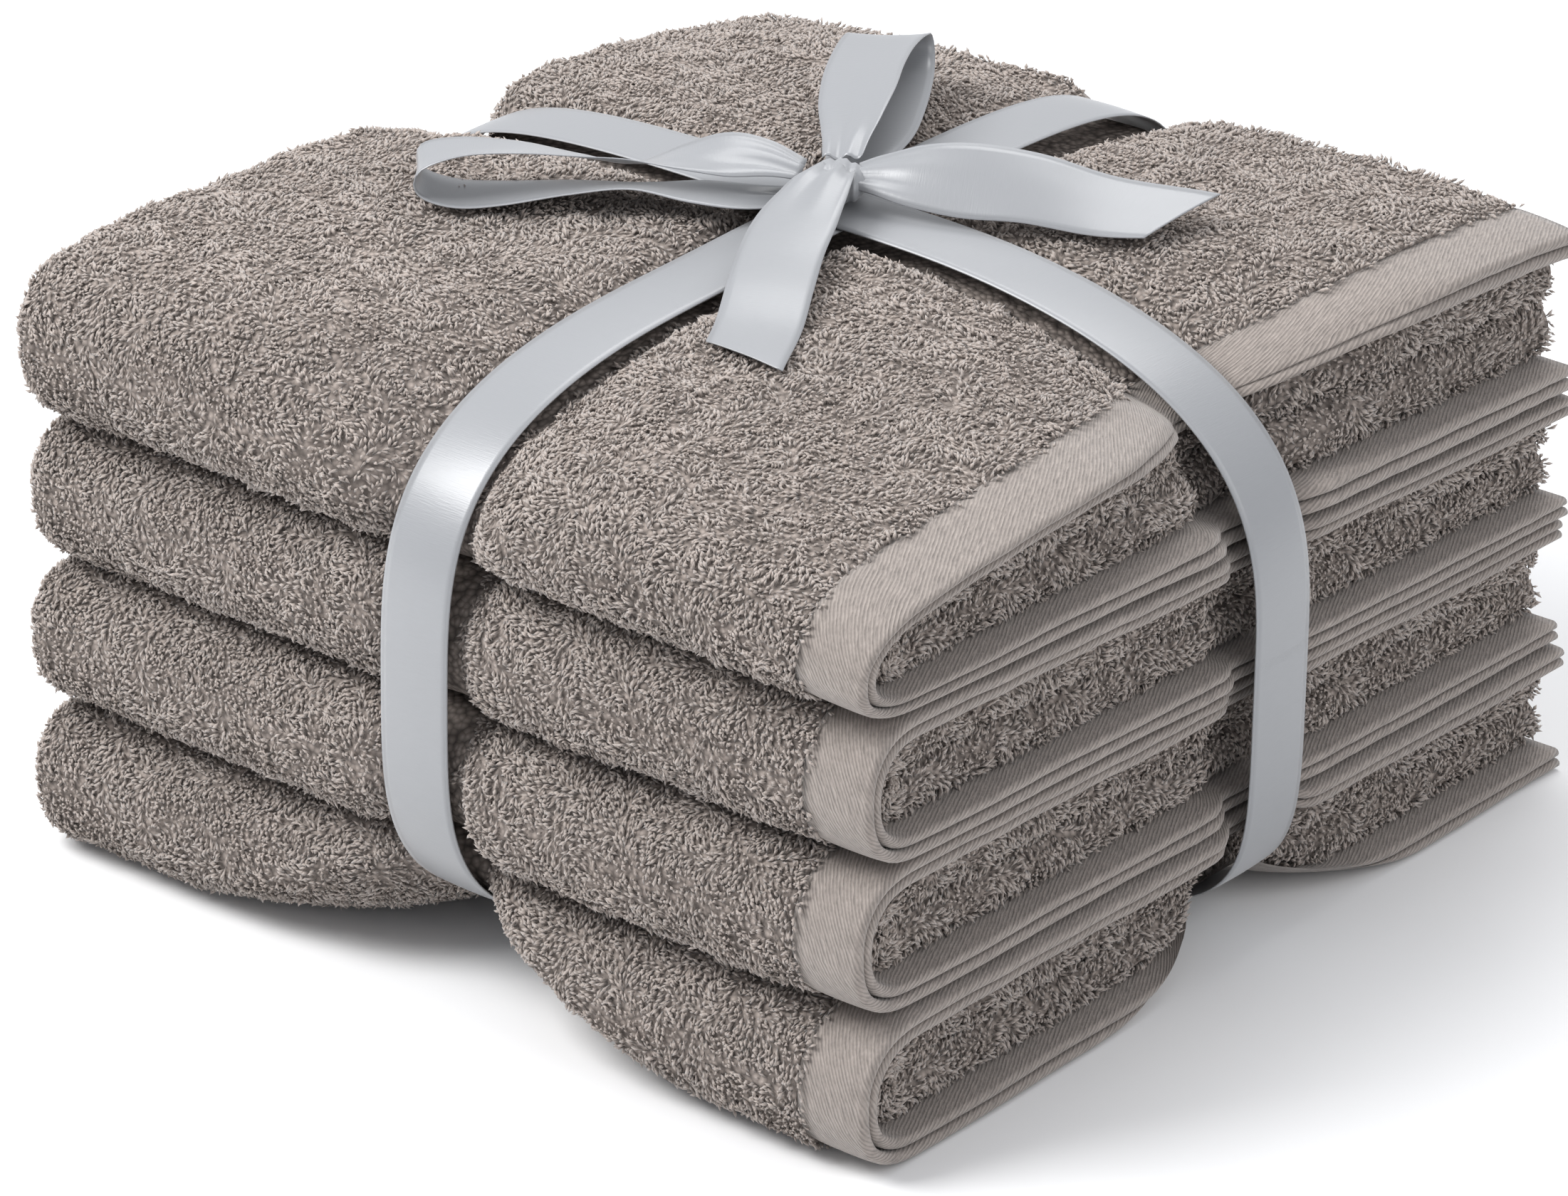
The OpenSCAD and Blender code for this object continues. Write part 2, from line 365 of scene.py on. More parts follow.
def close_mesh(piece: bpy.types.Object) -> None:
    """Merges doubles and points the faces outwards."""
    bm = bmesh.new()
    bm.from_mesh(piece.data)
    bmesh.ops.remove_doubles(bm, verts=bm.verts, dist=1e-6)
    bmesh.ops.recalc_face_normals(bm, faces=bm.faces)
    bm.to_mesh(piece.data)
    bm.free()


def section_faces(rows: int, n: int, closed_way: bool = False) -> Array:
    """Lists the faces over rows of a closed section, with both ends closed unless the rows join up.

    Args:
        rows: How many rows there are.
        n: How many points a section has.
        closed_way: Whether the last row meets the first.

    Returns:
        Rows of four point numbers.
    """
    i = np.arange(rows if closed_way else rows - 1)[:, None]
    j = np.arange(n)[None, :]
    here, beyond = i * n, ((i + 1) % rows) * n
    sides = [here + j, here + (j + 1) % n, beyond + (j + 1) % n, beyond + j]
    faces = np.stack(sides, -1).reshape(-1, 4)
    if closed_way:
        return faces
    h = np.arange(n // 2 - 1)
    cap = np.column_stack([h, n - 1 - h, n - 2 - h, h + 1])
    return np.vstack([faces, cap, cap[:, ::-1] + (rows - 1) * n])


def swept(name: str, grid: Array, along: Array, across: Array, closed_way: bool = False) -> bpy.types.Object:
    """Skins rows of a closed section, and closes both ends unless the rows join up.

    Args:
        name: The piece's name.
        grid: Places as [row, point of the section, xyz], in millimetres.
        along: Cloth length at each row.
        across: Cloth length at each point of the section.
        closed_way: Whether the last row meets the first.

    Returns:
        The new piece.
    """
    rows, n = grid.shape[:2]
    piece = mesh_piece(name, grid.reshape(-1, 3), section_faces(rows, n, closed_way))
    add_uv(piece, np.repeat(along, n), np.tile(across, rows))
    close_mesh(piece)
    return piece


def dress(piece: bpy.types.Object, material: bpy.types.Material) -> None:
    """Gives a piece its material."""
    piece.data.materials.clear()
    piece.data.materials.append(material)


# ---------------------------------------------------------------------------- finishes


class Slot(str, Enum):
    """The finish slots of the record."""

    TERRY = "terry"
    HEM = "hem_weave"
    SATIN = "satin"


@dataclass(frozen=True)
class Nodes:
    """Short ways to place and join shader nodes in one tree."""

    tree: bpy.types.NodeTree

    def add(self, kind: str, **inputs: object) -> bpy.types.Node:
        """Places a node.

        Args:
            kind: The node's type without its ShaderNode prefix.
            **inputs: Its settings, or its inputs by socket name with spaces as underscores.

        Returns:
            The new node.
        """
        node = self.tree.nodes.new("ShaderNode" + kind)
        for key, value in inputs.items():
            if hasattr(node, key) and key not in node.inputs:
                setattr(node, key, value)
            else:
                node.inputs[key.replace("_", " ")].default_value = value
        return node

    def link(self, source: bpy.types.NodeSocket, target: bpy.types.NodeSocket) -> None:
        """Joins two sockets."""
        self.tree.links.new(source, target)

    def math(self, operation: str, a: object, b: object = 0.0) -> bpy.types.NodeSocket:
        """Joins a maths node to numbers or sockets.

        Args:
            operation: What it does.
            a: First number or socket.
            b: Second number or socket.

        Returns:
            Its output socket.
        """
        node = self.tree.nodes.new("ShaderNodeMath")
        node.operation = operation
        for socket, value in zip(node.inputs, (a, b)):
            if isinstance(value, bpy.types.NodeSocket):
                self.link(value, socket)
            else:
                socket.default_value = value
        return node.outputs[0]

    def group(
        self, tree: bpy.types.NodeTree, vector: bpy.types.NodeSocket, **values: float
    ) -> bpy.types.Node:
        """Places a shared group with its own values.

        Args:
            tree: The group.
            vector: The places that it reads.
            **values: Its inputs by name.

        Returns:
            The group's node.
        """
        node = self.add("Group", node_tree=tree)
        for key, value in values.items():
            node.inputs[key].default_value = value
        self.link(vector, node.inputs["Vector"])
        return node

    def ramp(
        self, value: bpy.types.NodeSocket, low: Colour, high: Colour, span: tuple[float, float] = (0.0, 1.0)
    ) -> bpy.types.NodeSocket:
        """Turns a value into a colour between two.

        Args:
            value: The value.
            low: Colour at the start of the span.
            high: Colour at its end.
            span: Values between which the colour changes.

        Returns:
            The colour's socket.
        """
        node = self.add("ValToRGB")
        for stop, at, colour in zip(node.color_ramp.elements[:], span, (low, high)):
            stop.position = at
            stop.color = (*colour, 1)
        self.link(value, node.inputs["Fac"])
        return node.outputs["Color"]

    def bump(self, height: bpy.types.NodeSocket, strength: float, distance: float) -> bpy.types.NodeSocket:
        """Turns a height into a bumped normal.

        Args:
            height: The height.
            strength: How strongly it shows.
            distance: Its depth in metres.

        Returns:
            The normal's socket.
        """
        node = self.add("Bump", Strength=strength, Distance=distance)
        self.link(height, node.inputs["Height"])
        return node.outputs["Normal"]


def tinted(colour: Colour, factor: float) -> Colour:
    """Makes a colour darker or lighter by a factor."""
    red, green, blue = colour
    return red * factor, green * factor, blue * factor


def set_surface(shader: bpy.types.Node, values: dict[str, float]) -> None:
    """Sets plain values of a shader by socket name."""
    for name, value in values.items():
        shader.inputs[name].default_value = value


def new_group(
    name: str, inputs: dict[str, float], outputs: Sequence[str]
) -> tuple[bpy.types.NodeTree, Nodes]:
    """Starts a node group of plain values.

    Args:
        name: The group's name.
        inputs: Input names and their usual values.
        outputs: Output names.

    Returns:
        The tree and its node helper.
    """
    tree = bpy.data.node_groups.new(name, "ShaderNodeTree")
    tree.interface.new_socket("Vector", in_out="INPUT", socket_type="NodeSocketVector")
    for key, value in inputs.items():
        socket = tree.interface.new_socket(key, in_out="INPUT", socket_type="NodeSocketFloat")
        socket.default_value = value
    for key in outputs:
        tree.interface.new_socket(key, in_out="OUTPUT", socket_type="NodeSocketFloat")
    return tree, Nodes(tree)


def uneven_shade_group() -> bpy.types.NodeTree:
    """Broad uneven shade that all the cloth shares.

    Returns:
        A group that puts out Shade, about 1.
    """
    tree, n = new_group("uneven_shade", {"Size": 14.0, "Amount": 0.08}, ["Shade"])
    enter, leave = tree.nodes.new("NodeGroupInput"), tree.nodes.new("NodeGroupOutput")
    broad = n.add("TexNoise", Detail=3.0, Roughness=0.6)
    n.link(enter.outputs["Vector"], broad.inputs["Vector"])
    n.link(enter.outputs["Size"], broad.inputs["Scale"])
    centred = n.math("SUBTRACT", broad.outputs["Fac"], 0.5)
    scaled = n.math("MULTIPLY", centred, enter.outputs["Amount"])
    n.link(n.math("ADD", n.math("MULTIPLY", scaled, 2.0), 1.0), leave.inputs["Shade"])
    return tree


def weave_group() -> bpy.types.NodeTree:
    """Short slanted strokes of a twill's threads.

    Returns:
        A group that puts out Rib from 0 to 1, with its pitch set by Threads per metre.
    """
    tree, n = new_group("woven_ribs", {"Threads": 850.0, "Stroke": 0.2, "Breaks": 1.1}, ["Rib"])
    enter, leave = tree.nodes.new("NodeGroupInput"), tree.nodes.new("NodeGroupOutput")
    axes = n.add("SeparateXYZ")
    n.link(enter.outputs["Vector"], axes.inputs[0])
    x, y = axes.outputs["X"], axes.outputs["Y"]
    sine, cosine = 0.48, 0.88
    across = n.math("SUBTRACT", n.math("MULTIPLY", x, sine), n.math("MULTIPLY", y, cosine))
    along = n.math("ADD", n.math("MULTIPLY", x, cosine), n.math("MULTIPLY", y, sine))
    pitch = n.math("MULTIPLY", across, enter.outputs["Threads"])
    reach = n.math("MULTIPLY", n.math("MULTIPLY", along, enter.outputs["Threads"]), enter.outputs["Stroke"])
    joined = n.add("CombineXYZ")
    n.link(pitch, joined.inputs[0])
    n.link(reach, joined.inputs[1])
    strokes = n.add("TexNoise", Scale=1.0, Detail=2.0, Roughness=0.6)
    n.link(joined.outputs[0], strokes.inputs["Vector"])
    broken = n.math("SUBTRACT", strokes.outputs["Fac"], 0.5)
    phase = n.math("MULTIPLY", n.math("ADD", pitch, broken), math.tau)
    wave = n.math("MULTIPLY", n.math("SINE", phase), 0.26)
    both = n.math("ADD", wave, n.math("MULTIPLY", broken, enter.outputs["Breaks"]))
    n.link(n.math("ADD", both, 0.5), leave.inputs["Rib"])
    return tree


def start_material(name: str, colour: Colour) -> tuple[bpy.types.Material, Nodes, bpy.types.Node]:
    """Makes a node material with one Principled shader.

    Args:
        name: The material's name.
        colour: Its mean colour, linear.

    Returns:
        The material, its node helper and its shader.
    """
    material = bpy.data.materials.new(name)
    material.use_nodes = True
    material.diffuse_color = (*colour, 1)
    shader = material.node_tree.nodes["Principled BSDF"]
    shader.inputs["Base Color"].default_value = (*colour, 1)
    return material, Nodes(material.node_tree), shader


@dataclass(frozen=True)
class TerryPile:
    """Loop pile: strands painted light at their tips and dark at their roots, as painted shade down among
    the strands.
    """

    colour: Colour = (0.42, 0.362, 0.325)
    root_painted_shade: float = 0.4
    tip_painted_light: float = 1.42
    sheen: float = 0.35

    def build(self, shade: bpy.types.NodeTree) -> bpy.types.Material:
        """Makes the material.

        Args:
            shade: The uneven-shade group.

        Returns:
            The finished material.
        """
        material, n, shader = start_material("terry_pile_with_painted_shade", self.colour)
        strand = n.add("Attribute", attribute_name="strand")
        place = n.add("TexCoord")
        uneven = n.group(shade, place.outputs["Object"], Amount=0.10)
        value = n.math("MULTIPLY", strand.outputs["Fac"], uneven.outputs["Shade"])
        # Painted shade: the ramp darkens the strands' roots and lightens their tips.
        tone = n.ramp(value, tinted(self.colour, self.root_painted_shade), tinted(self.colour, self.tip_painted_light))
        n.link(tone, shader.inputs["Base Color"])
        set_surface(shader, {"Roughness": 0.9, "Specular IOR Level": 0.25})
        set_surface(shader, {"Sheen Weight": self.sheen, "Sheen Roughness": 0.5})
        return material


@dataclass(frozen=True)
class TerryGround:
    """The ground cloth between the strands, with the roots of the loops; its colour is darkened as painted
    shade between the strands.
    """

    # Darker than the pile: painted shade between the strands.
    colour: Colour = (0.27, 0.231, 0.207)
    lump: float = 420.0

    def build(self, shade: bpy.types.NodeTree) -> bpy.types.Material:
        """Makes the material.

        Args:
            shade: The uneven-shade group.

        Returns:
            The finished material.
        """
        material, n, shader = start_material("terry_ground_with_painted_shade", self.colour)
        place = n.add("TexCoord")
        uneven = n.group(shade, place.outputs["Object"])
        loops = n.add("TexVoronoi", feature="F1", Scale=self.lump)
        n.link(place.outputs["Object"], loops.inputs["Vector"])
        height = n.math("SUBTRACT", 1.0, loops.outputs["Distance"])
        value = n.math("MULTIPLY", height, uneven.outputs["Shade"])
        # Painted shade: the low places between the loops are darker; the same height drives the bump.
        tone = n.ramp(value, tinted(self.colour, 0.5), tinted(self.colour, 1.5), (0.2, 0.95))
        n.link(tone, shader.inputs["Base Color"])
        n.link(n.bump(height, 0.8, 0.0012), shader.inputs["Normal"])
        set_surface(shader, {"Roughness": 0.95, "Specular IOR Level": 0.2})
        return material


@dataclass(frozen=True)
class HemTwill:
    """Flat twill band with a stitched line along its sewn edge."""

    colour: Colour = (0.282, 0.246, 0.222)
    threads: float = 850.0
    stitch_at: float = 0.0025
    stitch_half: float = 0.0005
    stitch_pitch: float = 330.0

    def build(self, shade: bpy.types.NodeTree, ribs: bpy.types.NodeTree) -> bpy.types.Material:
        """Makes the material.

        Args:
            shade: The uneven-shade group.
            ribs: The woven-ribs group.

        Returns:
            The finished material.
        """
        material, n, shader = start_material("hem_twill", self.colour)
        place = n.add("TexCoord")
        weave = n.group(ribs, place.outputs["UV"], Threads=self.threads)
        uneven = n.group(shade, place.outputs["Object"])
        axes = n.add("SeparateXYZ")
        n.link(place.outputs["UV"], axes.inputs[0])
        near = n.math("ABSOLUTE", n.math("SUBTRACT", axes.outputs["Y"], self.stitch_at))
        band = n.math("LESS_THAN", near, self.stitch_half)
        run = n.math("SINE", n.math("MULTIPLY", axes.outputs["X"], self.stitch_pitch * math.tau))
        stitch = n.math("MULTIPLY", band, n.math("GREATER_THAN", run, -0.2))
        fuzz = n.add("TexNoise", Scale=900.0, Detail=2.0)
        n.link(place.outputs["Object"], fuzz.inputs["Vector"])
        rib = n.math("MULTIPLY", weave.outputs["Rib"], 0.7)
        mixed = n.math("ADD", rib, n.math("MULTIPLY", fuzz.outputs["Fac"], 0.3))
        value = n.math("MULTIPLY", mixed, uneven.outputs["Shade"])
        tone = n.ramp(value, tinted(self.colour, 0.5), tinted(self.colour, 1.35), (0.1, 0.9))
        n.link(tone, shader.inputs["Base Color"])
        height = n.math("ADD", mixed, n.math("MULTIPLY", stitch, -0.9))
        n.link(n.bump(height, 0.75, 0.0005), shader.inputs["Normal"])
        set_surface(shader, {"Roughness": 0.85, "Specular IOR Level": 0.3, "Sheen Weight": 0.25})
        return material


@dataclass(frozen=True)
class Satin:
    """White satin ribbon with a woven edge on each side."""

    colour: Colour = (0.275, 0.282, 0.295)
    half_width: float = RIBBON_HALF * MM
    edge: float = 0.0008
    thread_scale: tuple[float, float, float] = (2600.0, 160.0, 1.0)

    def build(self, shade: bpy.types.NodeTree) -> bpy.types.Material:
        """Makes the material.

        Args:
            shade: The uneven-shade group.

        Returns:
            The finished material.
        """
        material, n, shader = start_material("ribbon_satin", self.colour)
        place = n.add("TexCoord")
        axes = n.add("SeparateXYZ")
        n.link(place.outputs["UV"], axes.inputs[0])
        out = n.math("ABSOLUTE", axes.outputs["Y"])
        border = n.math("GREATER_THAN", out, self.half_width - self.edge)
        uneven = n.group(shade, place.outputs["Object"], Size=30.0, Amount=0.03)
        threads = n.add("TexNoise", Scale=1.0, Detail=2.0)
        stretch = n.add("Mapping")
        stretch.inputs["Scale"].default_value = self.thread_scale
        n.link(place.outputs["UV"], stretch.inputs["Vector"])
        n.link(stretch.outputs["Vector"], threads.inputs["Vector"])
        woven = n.math("MULTIPLY", threads.outputs["Fac"], 0.12)
        value = n.math("ADD", woven, n.math("MULTIPLY", border, 0.35))
        shaded = n.math("MULTIPLY", value, uneven.outputs["Shade"])
        tone = n.ramp(shaded, tinted(self.colour, 0.94), tinted(self.colour, 1.3))
        n.link(tone, shader.inputs["Base Color"])
        height = n.math("ADD", threads.outputs["Fac"], border)
        n.link(n.bump(height, 0.25, 0.0002), shader.inputs["Normal"])
        set_surface(shader, {"Roughness": 0.34, "Specular IOR Level": 0.75, "Sheen Weight": 0.2})
        set_surface(shader, {"Coat Weight": 0.12, "Coat Roughness": 0.25})
        return material


@dataclass(frozen=True)
class PlainFloor:
    """Plain pale floor under the bundle."""

    colour: Colour = (0.86, 0.86, 0.86)

    def build(self) -> bpy.types.Material:
        """Makes the material."""
        material, _, shader = start_material("pale_floor", self.colour)
        set_surface(shader, {"Roughness": 0.8, "Specular IOR Level": 0.2})
        return material


@dataclass
class Wardrobe:
    """Every finish of the bundle, built once."""

    terry: bpy.types.Material = field(init=False)
    ground: bpy.types.Material = field(init=False)
    hem: bpy.types.Material = field(init=False)
    satin: bpy.types.Material = field(init=False)
    floor: bpy.types.Material = field(init=False)

    def __post_init__(self) -> None:
        """Builds the groups and the materials."""
        shade, ribs = uneven_shade_group(), weave_group()
        self.terry = TerryPile().build(shade)
        self.ground = TerryGround().build(shade)
        self.hem = HemTwill().build(shade, ribs)
        self.satin = Satin().build(shade)
        self.floor = PlainFloor().build()


# ---------------------------------------------------------------------------- pile


@dataclass(frozen=True)
class Strand:
    """One twisted strand of the pile, as a template along Z from root to tip."""

    sides: int = 3
    belly: float = 0.6
    root: float = -0.12

    def template(self) -> tuple[Array, Array]:
        """Makes the strand's points and triangles.

        Returns:
            Points with Z from the root to 1, and triangles that face outwards.
        """
        bm = bmesh.new()
        made = bmesh.ops.create_circle(bm, cap_ends=False, segments=self.sides, radius=0.5)
        bmesh.ops.translate(bm, verts=made["verts"], vec=(0, 0, self.belly))
        rim = bm.edges[:]
        for height in (1.0, self.root):
            grown = bmesh.ops.extrude_edge_only(bm, edges=rim)
            ends = [v for v in grown["geom"] if isinstance(v, bmesh.types.BMVert)]
            bmesh.ops.pointmerge(bm, verts=ends, merge_co=Vector((0, 0, height)))
        bmesh.ops.recalc_face_normals(bm, faces=bm.faces)
        bmesh.ops.triangulate(bm, faces=bm.faces)
        bm.verts.index_update()
        points = np.array([v.co[:] for v in bm.verts])
        faces = np.array([[v.index for v in f.verts] for f in bm.faces])
        bm.free()
        return points, faces


@dataclass
class Patch:
    """A stretch of one towel's surface that carries pile.

    Attributes:
        name: The pile piece's name.
        place: Gives the tied place for (path, ring) lengths in millimetres.
        path: Lowest and highest length along the towel's path.
        ring: Lowest and highest length along its ring.
        keep: Says which (path, ring) lengths carry strands.
        length: Mean strand length in millimetres.
        outward: How far strands lean out, 0 flat and 1 upright.
        side: Which side of the (path, ring) surface carries the pile, 1 or -1.
        seed: Number that fixes the draw.
    """

    name: str
    place: Callable[[Array, Array], Array]
    path: tuple[float, float]
    ring: tuple[float, float]
    keep: Callable[[Array, Array], Array]
    length: float = 3.3
    outward: float = 0.42
    side: float = 1.0
    seed: int = 1


@dataclass(frozen=True)
class PileMaker:
    """Sows strands over patches of cloth.

    Attributes:
        spacing: Distance between strands in millimetres.
        width: Mean width of a strand.
        stray: How far a strand strays from its place, as a share of the spacing.
        probe: Step that finds the surface's slope.
        lean_range: Least and most that a strand leans out.
        painted_strand_shade: Painted shade along a strand, dark at the root and light at the tip, as
            (height, shade).
        swirl: Noise that turns the strands in broad swirls.
        second: Noise of the small tufts.
    """

    spacing: float = 1.5
    width: float = 1.24
    stray: float = 0.55
    probe: float = 0.4
    lean_range: tuple[float, float] = (0.12, 0.95)
    painted_strand_shade: tuple[tuple[float, float], ...] = ((0.0, 0.5), (0.6, 0.96), (1.0, 1.06))
    swirl: CloudNoise = field(default_factory=lambda: CloudNoise(11))
    second: CloudNoise = field(default_factory=lambda: CloudNoise(12))

    def sow(self, patch: Patch) -> bpy.types.Object:
        """Makes the pile of one patch as one piece.

        Args:
            patch: Where and how the strands stand.

        Returns:
            The pile piece, with its random tone and its painted root shade in the attribute strand.
        """
        rng = np.random.default_rng(patch.seed)
        a = np.arange(patch.path[0], patch.path[1], self.spacing)
        b = np.arange(patch.ring[0], patch.ring[1], self.spacing)
        u, v = (g.ravel() for g in np.meshgrid(a, b, indexing="ij"))
        u = u + rng.uniform(-self.stray, self.stray, u.shape) * self.spacing
        v = v + rng.uniform(-self.stray, self.stray, v.shape) * self.spacing
        mine = patch.keep(u, v)
        u, v = u[mine], v[mine]
        base = patch.place(u, v)
        du = patch.place(u + self.probe, v) - base
        dv = patch.place(u, v + self.probe) - base
        normal = unit(np.cross(du, dv)) * patch.side
        return self.stand(patch, rng, (u, v, base), normal, unit(du))

    def stand(
        self,
        patch: Patch,
        rng: np.random.Generator,
        spots: tuple[Array, Array, Array],
        normal: Array,
        along: Array,
    ) -> bpy.types.Object:
        """Stands a strand on each spot and joins them in one mesh.

        Args:
            patch: How the strands stand.
            rng: The patch's own draw.
            spots: Path lengths, ring lengths and tied places of the strands' feet.
            normal: Direction out of the cloth at each foot.
            along: Direction along the path at each foot.

        Returns:
            The pile piece.
        """
        u, v, base = spots
        n = len(u)
        side = np.cross(normal, along)
        flow = math.pi * (1.5 * self.swirl.at(u, v, 26) + 1.0 * self.second.at(u, v, 9))
        flow = flow + rng.normal(0, 0.45, n)
        lie = along * np.cos(flow)[:, None] + side * np.sin(flow)[:, None]
        tuft = self.second.at(u + 400, v, 3.4)
        lean = patch.outward + 0.22 * self.swirl.at(u, v, 7) + rng.normal(0, 0.14, n)
        lean = np.clip(lean, *self.lean_range)
        first = unit(normal * lean[:, None] + lie * (1 - lean)[:, None])
        curl = rng.normal(0, 0.35, (n, 3))
        bend = unit(normal * (lean * 0.35)[:, None] + lie + curl)
        tall = patch.length * (0.85 + 0.22 * tuft + rng.uniform(-0.22, 0.22, n))
        thick = self.width * rng.uniform(0.75, 1.25, n)
        points, faces = Strand().template()
        z = points[:, 2]
        spin = unit(np.cross(first, curl + 0.01))
        across = np.cross(first, spin)
        rise, droop = z - 0.5 * z * np.abs(z), 0.55 * z * np.abs(z)
        body = base[:, None, :] + first[:, None, :] * (tall[:, None] * rise)[..., None]
        body = body + bend[:, None, :] * (tall[:, None] * droop)[..., None]
        ring = spin[:, None, :] * points[None, :, 0:1] + across[:, None, :] * points[None, :, 1:2]
        body = body + ring * thick[:, None, None]
        body[..., 2] = np.maximum(body[..., 2], 0.0)
        index = (np.arange(n)[:, None, None] * len(points) + faces[None]).reshape(-1, 3)
        piece = mesh_piece(patch.name, body.reshape(-1, 3), index)
        tone = 0.50 + 0.08 * tuft + 0.05 * self.swirl.at(u, v, 14) + rng.uniform(-0.06, 0.06, n)
        # Painted shade along each strand: darker at the root, lighter at the tip.
        painted_strand_shade = np.interp(z, *zip(*self.painted_strand_shade))
        shade = (tone[:, None] * painted_strand_shade[None, :]).ravel()
        layer = piece.data.attributes.new("strand", "FLOAT", "POINT")
        layer.data.foreach_set("value", shade.astype(np.float32))
        return piece


# ---------------------------------------------------------------------------- towels


@dataclass
class FoldedTowel:
    """One bath towel folded in half and half again along its length, then once across.

    Attributes:
        k: Its index, 0 at the bottom.
        cloth: Width and length of the cloth before folding, in metres; not used.
        hem_w: Width of a hem band.
        hem_t: Thickness of a hem band.
        ply: Thickness of one ply of terry.
        turn_r: Outer radius of the turns at -X.
        roll_r: Outer radius of the roll at +X.
        recess: How far that roll sits back behind the hems.
        hem_short: How far the hems stop short of the open side.
        over_seam: How far the pile reaches over the sewn line.
        edge_from: How far the woven edges start from the -X end.
        lane: Width of one lane of strands along a ply's cut edge.
        broad: Height and size of the broad lumps of the surface.
        small: Height and size of its small lumps.
        pile: Sows the strands.
        bumps: Noise of the soft lumps and ripples.
    """

    k: int
    cloth: tuple[float, float] = (0.70, 1.40)
    hem_w: float = 25
    hem_t: float = 3.4
    ply: float = 5.6
    turn_r: float = 11.9
    roll_r: float = 8.0
    recess: float = 10
    hem_short: float = 4.5
    over_seam: float = 1.4
    edge_from: float = 9
    lane: float = 4.2
    broad: tuple[float, float] = (0.9, 24)
    small: tuple[float, float] = (1.0, 10)
    pile: PileMaker = field(default_factory=PileMaker)
    bumps: CloudNoise = field(default_factory=lambda: CloudNoise(5))

    @property
    def name(self) -> str:
        """The towel's name in the frame."""
        return f"towel_{self.k + 1}"

    @property
    def hem_x(self) -> float:
        """Where the outer hem ends at +X."""
        return STACK.half_x + STACK.hem_out[self.k]

    @property
    def sewn_x(self) -> float:
        """Where the terry meets the hem."""
        return self.hem_x - self.hem_w

    @property
    def roll_x(self) -> float:
        """Middle of the roll at +X."""
        return self.hem_x - self.recess - self.roll_r

    @property
    def turn_x(self) -> float:
        """Middle of the turns at -X."""
        return self.turn_r - STACK.half_x + FACE_DEPTH

    @property
    def ply_depths(self) -> list[float]:
        """Depths of the middles of the four plies of one half."""
        return [3.4 + 5.9 * i for i in range(4)]

    @property
    def edge_span(self) -> tuple[float, float]:
        """Where the woven edges start and end in X."""
        return self.edge_from - STACK.half_x, self.sewn_x - 1

    def soft(self, u: Array, v: Array) -> Array:
        """Soft lumps of the terry's surface, in millimetres outwards."""
        shift = 61.0 * self.k
        (broad, broad_size), (small, small_size) = self.broad, self.small
        swell = broad * self.bumps.at(u + shift, v, broad_size)
        return swell + small * self.bumps.at(u, v + shift, small_size)

    def fold_path(self) -> Array:
        """Middle line of the cloth from the outer hem to the inner one, as (x, depth)."""
        out = self.turn_r - self.ply / 2
        roll = self.roll_r - self.ply / 2
        a_depth, b_depth, c_depth = self.ply / 2 + FACE_DEPTH, 9.2, 15.4
        inner = (c_depth - b_depth) / 2
        deep = a_depth + 2 * out
        centre = STACK.ply_half - FACE_DEPTH - self.roll_r
        stops = (100, 0, -100)
        back = np.radians(np.linspace(90, 270, 15))
        front = np.radians(np.linspace(-90, 90, 11))
        path = [(self.sewn_x - 0.3, a_depth)]
        path += [(x, a_depth) for x in stops]
        path += [(self.turn_x + out * math.cos(t), a_depth + out - out * math.sin(t)) for t in back]
        path += [(x, deep) for x in stops[::-1]]
        path += [(self.roll_x + roll * math.cos(t), centre - roll * math.sin(t)) for t in front]
        path += [(x, c_depth - (0.8 if x == stops[0] else 0)) for x in stops]
        path += [(self.turn_x + inner * math.cos(t), b_depth + inner + inner * math.sin(t))
                 for t in np.radians(np.linspace(90, 270, 9))]
        path += [(x, b_depth) for x in stops[::-1]]
        path.append((self.sewn_x - 2, b_depth - 0.8))
        return np.array(path, float)

    def sheet(self) -> bpy.types.Object:
        """Makes the whole folded cloth as one closed sheet."""
        line = resample(self.fold_path(), 5.5)
        ahead = unit(np.gradient(line, axis=0))
        away = np.column_stack([-ahead[:, 1], ahead[:, 0]])
        half = self.ply / 2
        left, right = line + away * half, line - away * half
        section = np.vstack([left, right[::-1]])
        run = run_along(line)
        across = np.concatenate([run, run[::-1]])
        total = STACK.ring_run(STACK.open_y)
        rows = np.concatenate([np.linspace(0, total / 2, 48), np.linspace(total / 2, total, 48)[1:]])
        s, x = np.meshgrid(rows, section[:, 0], indexing="ij")
        d = np.broadcast_to(section[:, 1], x.shape)
        return swept(f"{self.name}_cloth", self.place_at(x, s, d), rows, across)

    def place_at(self, x: Array, s: Array, d: Array) -> Array:
        """Tied place of (x, ring length, depth), with the soft lumps of the surface."""
        y, up = STACK.ring(self.k, s, d, STACK.open_y)
        lump = self.soft(x, s) * np.exp(-np.abs(d) / 6)
        return STACK.towel_point(self.k, x, y, up, d - lump)

    # Surfaces that carry pile, each as a place for a path length and a ring length

    def on_face(self, u: Array, v: Array) -> Array:
        """The outer face: path length u is x."""
        return self.place_at(u, v, np.full(u.shape, FACE_DEPTH))

    def on_turn(self, u: Array, v: Array) -> Array:
        """Round the turn at -X: path length u walks from the outer face inwards."""
        a = math.pi / 2 + u / self.turn_r
        x = self.turn_x + self.turn_r * np.cos(a)
        d = FACE_DEPTH + self.turn_r - self.turn_r * np.sin(a)
        return self.place_at(x, v, d)

    def on_roll(self, u: Array, v: Array) -> Array:
        """Round the roll at +X: path length u walks from the middle outwards."""
        a = -math.pi / 2 + u / self.roll_r
        x = self.roll_x + self.roll_r * np.cos(a)
        d = STACK.ply_half - FACE_DEPTH - self.roll_r - self.roll_r * np.sin(a)
        return self.place_at(x, v, d)

